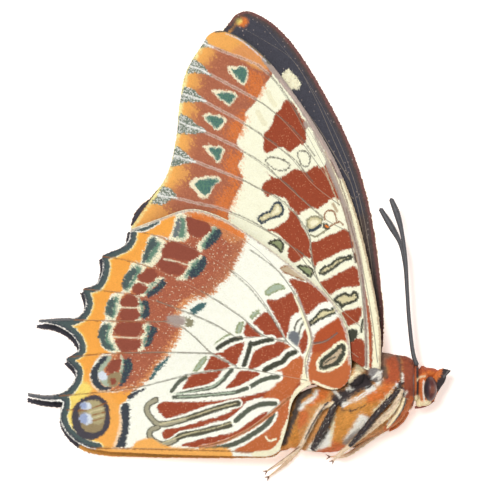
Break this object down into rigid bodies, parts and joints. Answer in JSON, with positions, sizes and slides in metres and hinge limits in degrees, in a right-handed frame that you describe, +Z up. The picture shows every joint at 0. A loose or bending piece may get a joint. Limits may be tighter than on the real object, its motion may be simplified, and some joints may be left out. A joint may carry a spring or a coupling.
{
  "type": "brush-footed butterfly",
  "caption": "Large butterfly with closed, scalloped and tailed wings, lying on its left side, as a still life-size display model.",
  "frame": {"origin": "centre of the underside of the bounding box, on the floor that the insect lies on", "axes": "+X towards the head, +Y from the body towards the forewing tips, +Z up from the floor, out of the insect's right side"},
  "size_m": [0.0512, 0.0568, 0.0092],
  "materials": {
    "head": "short orange-brown hair",
    "eye": "smooth dark maroon-brown",
    "palp": "scales, orange above and black below",
    "proboscis": "dark red, smooth",
    "antenna": "black with fine grey scales",
    "thorax": "orange-brown hair with dark, white-edged stripes",
    "abdomen": "short pale brown hair",
    "leg": "pale scaled shell with dark claws",
    "forewing": "matt scales, red-brown with cream and slate marks",
    "hindwing": "matt scales, red-brown, cream, orange and slate"
  },
  "bodies": {
    "root": {"head": "head", "eye_right": "eye", "eye_left": "eye", "palp_right": "palp", "palp_left": "palp", "proboscis": "proboscis", "antenna_right": "antenna", "antenna_left": "antenna", "thorax": "thorax", "abdomen": "abdomen", "fore_leg_right": "leg", "fore_leg_left": "leg", "mid_leg_right": "leg", "mid_leg_left": "leg", "hind_leg_right": "leg", "hind_leg_left": "leg", "forewing_right": "forewing", "forewing_left": "forewing", "hindwing_right": "hindwing", "hindwing_left": "hindwing"}
  },
  "joints": []
}
